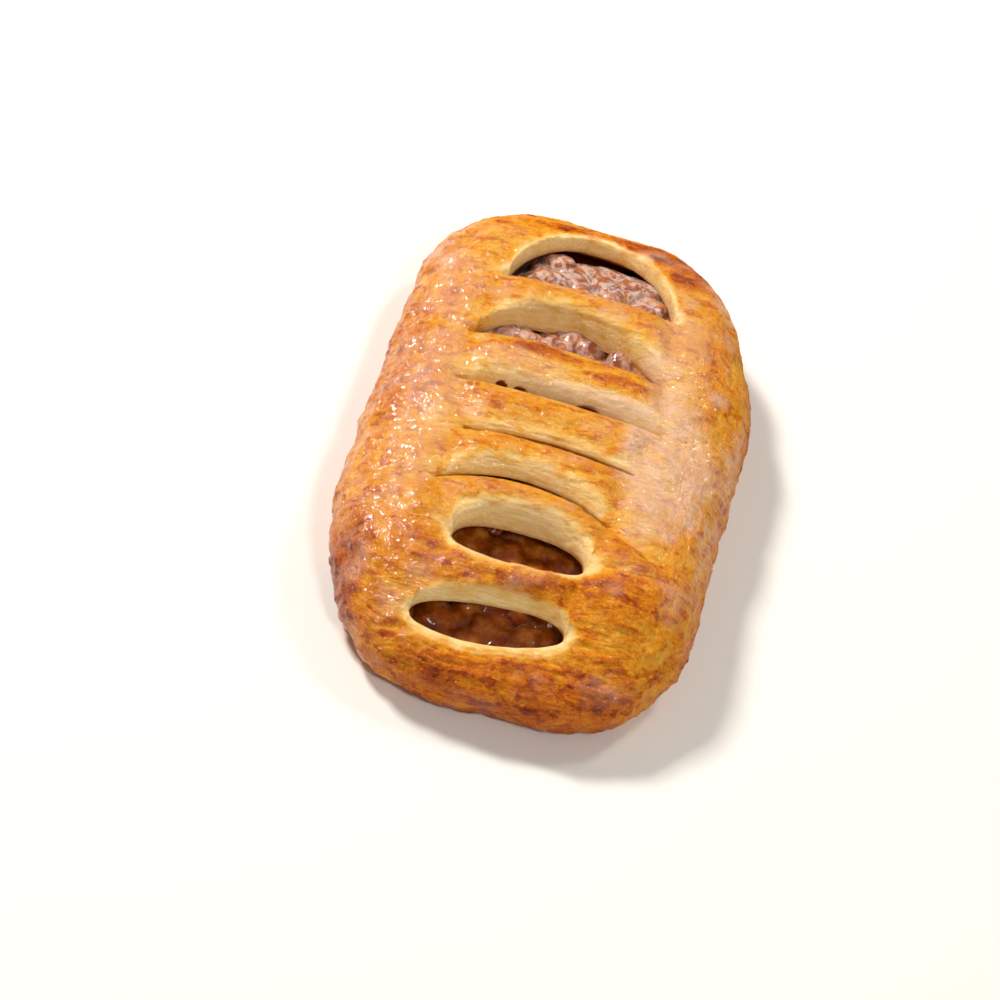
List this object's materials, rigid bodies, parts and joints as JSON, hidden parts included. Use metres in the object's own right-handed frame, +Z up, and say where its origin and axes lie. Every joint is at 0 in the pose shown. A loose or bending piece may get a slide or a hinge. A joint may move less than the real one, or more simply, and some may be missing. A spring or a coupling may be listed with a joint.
{
  "type": "danish pastry",
  "caption": "Oblong fruit danish: a puffed, egg-washed laminated crust slit across its lid into strips, with fruit filling showing in the slits.",
  "frame": {"origin": "middle of the flat underside, which is the bottom centre of the whole pastry", "axes": "+Y along the pastry towards the end with the widest slit, +X across it along the slits, +Z up"},
  "size_m": [0.0894, 0.1534, 0.0271],
  "materials": {
    "crust": "egg-washed baked dough, golden with brown blisters, pale laminated edges at the slits, thin clear glaze",
    "filling": "wet amber fruit filling with translucent pieces"
  },
  "bodies": {
    "root": {"pastry_crust": "crust", "fruit_filling": "filling"}
  },
  "joints": []
}
